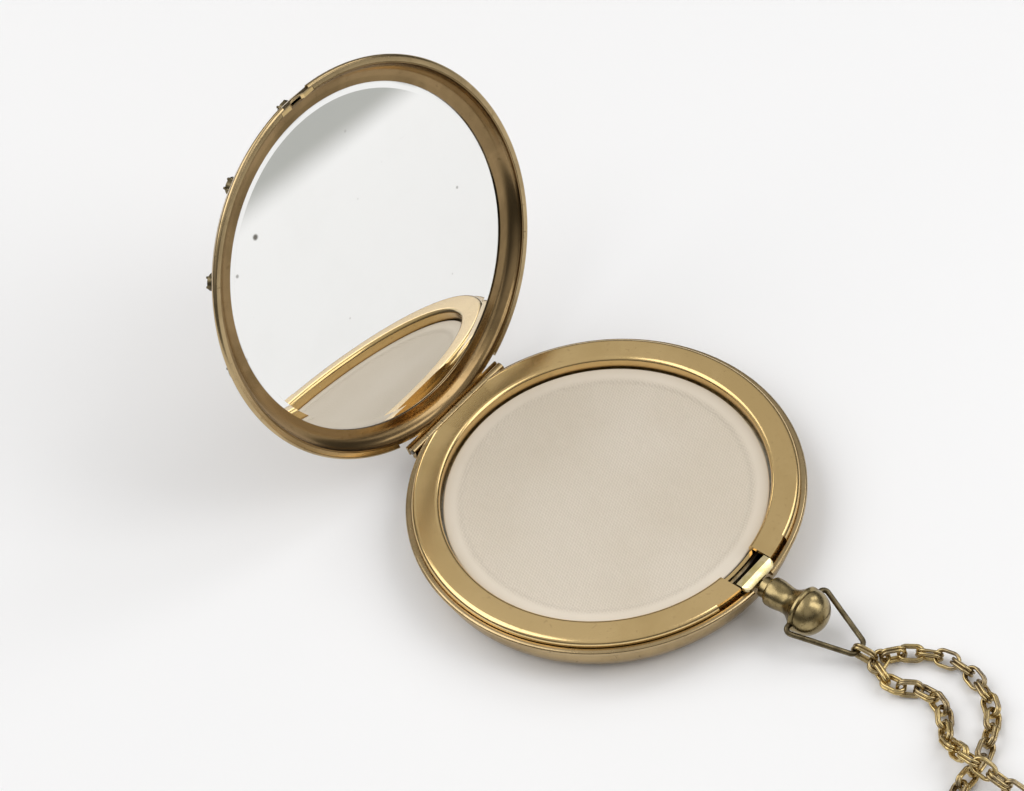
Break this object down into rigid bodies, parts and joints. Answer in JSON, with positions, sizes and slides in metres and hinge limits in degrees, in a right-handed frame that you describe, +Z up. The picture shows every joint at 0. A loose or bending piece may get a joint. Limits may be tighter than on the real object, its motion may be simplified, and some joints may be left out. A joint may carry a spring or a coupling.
{
  "type": "compact mirror",
  "caption": "Round watch-shaped powder compact, standing open, with a mirror in the lid, a gauze sifter, a push-crown latch, a swinging bail and a wrist chain.",
  "frame": {"origin": "centre of the case's flat foot, on the surface that it stands on", "axes": "+Z up, +Y from the crown towards the hinge, +X along the hinge pin to the right"},
  "size_m": [0.0662, 0.1574, 0.0667],
  "materials": {
    "case_brass": "satin, a little dulled",
    "ring_brass": "polished",
    "aged_brass": "satin, aged to olive grey",
    "pan_metal": "plain pressed sheet",
    "powder": "pressed powder, matt",
    "cloth": "fine stretched gauze, off-white",
    "pin_steel": "drawn wire",
    "mirror": "silvered glass, with small flaws of age",
    "card": "plain card",
    "stone": "clear cut paste"
  },
  "bodies": {
    "base": {"base_case": "case_brass", "inner_ring": "ring_brass", "powder_pan": "pan_metal", "powder_fill": "powder", "base_hinge_leaf": "case_brass", "hinge_pin": "pin_steel", "stem_guide": "case_brass", "return_spring": "pin_steel"},
    "sifter": {"sifter_hoop": "pan_metal", "sifter_cloth": "cloth"},
    "lid": {"lid_shell": "case_brass", "mirror_bezel": "ring_brass", "mirror_glass": "mirror", "mirror_backing": "card", "lid_hinge_leaf": "case_brass", "lid_catch": "ring_brass", "hour_settings": "case_brass", "hour_stones": "stone"},
    "pusher": {"crown_body": "aged_brass", "crown_dome": "aged_brass", "crown_stem": "aged_brass", "latch_plate": "ring_brass", "stem_rivet": "aged_brass"},
    "bail": {"bail": "aged_brass"},
    "chain": {"chain_hitch": "aged_brass", "chain_far_strand": "aged_brass", "chain_lower_strand": "aged_brass", "chain_loop": "aged_brass", "chain_crossing": "aged_brass", "chain_near_strand": "aged_brass"}
  },
  "joints": [
    {"name": "lid_hinge", "type": "hinge", "parent": "base", "child": "lid", "pos_m": [0, 0.032, 0.006], "axis": [1, 0, 0], "range_deg": [0, 109.5]},
    {"name": "crown_press", "type": "slide", "parent": "base", "child": "pusher", "axis": [0, 1, 0], "range_m": [0, 0.0009], "stiffness_N_per_m": 1500},
    {"name": "sifter_lift", "type": "slide", "parent": "base", "child": "sifter", "axis": [0, 0, 1], "range_m": [0, 0.0027]},
    {"name": "bail_swing", "type": "hinge", "parent": "pusher", "child": "bail", "pos_m": [0, -0.04018, 0.0061], "axis": [-1, 0, 0], "range_deg": [0, 110]},
    {"name": "chain_hang", "type": "hinge", "parent": "bail", "child": "chain", "pos_m": [0, -0.05014, 0.00248], "axis": [-1, 0, 0], "range_deg": [-110, 0]}
  ],
  "couplings": [
    {"joint": "chain_hang", "follows": "bail_swing", "ratio": -1}
  ]
}
